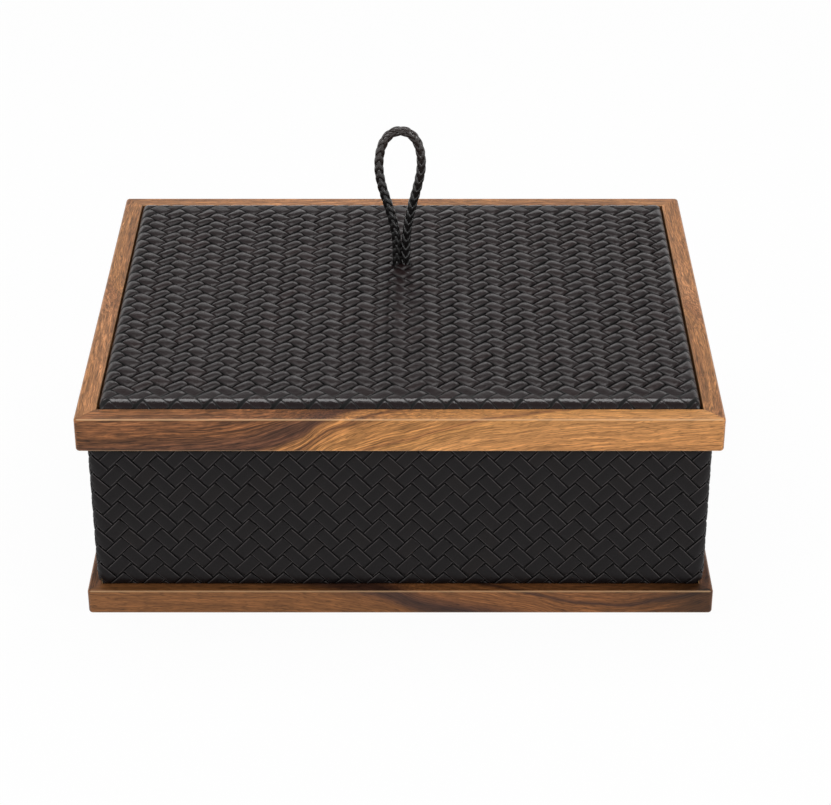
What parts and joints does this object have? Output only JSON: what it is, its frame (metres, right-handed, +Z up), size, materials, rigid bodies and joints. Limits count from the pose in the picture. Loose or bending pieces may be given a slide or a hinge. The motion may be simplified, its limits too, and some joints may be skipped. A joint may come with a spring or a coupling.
{
  "type": "lidded box",
  "caption": "Rectangular keepsake and document box in black woven leather, with a walnut base and a lift-off walnut-framed lid that has a padded woven panel and a braided loop pull.",
  "frame": {"origin": "on the surface it stands on, under the middle of the box", "axes": "+X to the right along the long side, +Y towards the back, +Z up"},
  "size_m": [0.33, 0.261, 0.2077],
  "materials": {
    "walnut": "oiled walnut, satin",
    "woven_leather": "black woven leather, soft sheen",
    "braided_leather": "black braided leather cord",
    "suede": "charcoal suede",
    "felt": "black felt",
    "plywood": "birch plywood, bare",
    "board": "fibreboard, bare",
    "beech": "beech, bare",
    "wadding": "foam wadding",
    "steel": "zinc-plated steel"
  },
  "bodies": {
    "box": {"underside_felt": "felt", "base_rail_front": "walnut", "base_rail_back": "walnut", "base_rail_left": "walnut", "base_rail_right": "walnut", "base_core": "board", "base_mitre_keys": "plywood", "base_screws": "steel", "wall_front": "plywood", "wall_back": "plywood", "wall_left": "plywood", "wall_right": "plywood", "carcass_floor": "plywood", "leather_wrap": "woven_leather", "lining_front": "suede", "lining_back": "suede", "lining_left": "suede", "lining_right": "suede", "lining_floor": "suede"},
    "lid": {"lid_rail_front": "walnut", "lid_rail_back": "walnut", "lid_rail_left": "walnut", "lid_rail_right": "walnut", "lid_mitre_keys": "plywood", "lid_board": "plywood", "lid_foam": "wadding", "lid_leather": "woven_leather", "lid_plug": "plywood", "lid_lining": "suede", "plug_screws": "steel", "pull_tails": "braided_leather", "pull_anchor": "beech"},
    "pull": {"pull_loop": "braided_leather"}
  },
  "joints": [
    {"name": "lid_lift", "type": "slide", "parent": "box", "child": "lid", "axis": [0, 0, 1], "range_m": [0, 0.12]},
    {"name": "pull_tilt", "type": "hinge", "parent": "lid", "child": "pull", "pos_m": [0, 0.038, 0.1266], "axis": [1, 0, 0], "range_deg": [-60, 60], "stiffness_Nm_per_rad": 0.02}
  ]
}
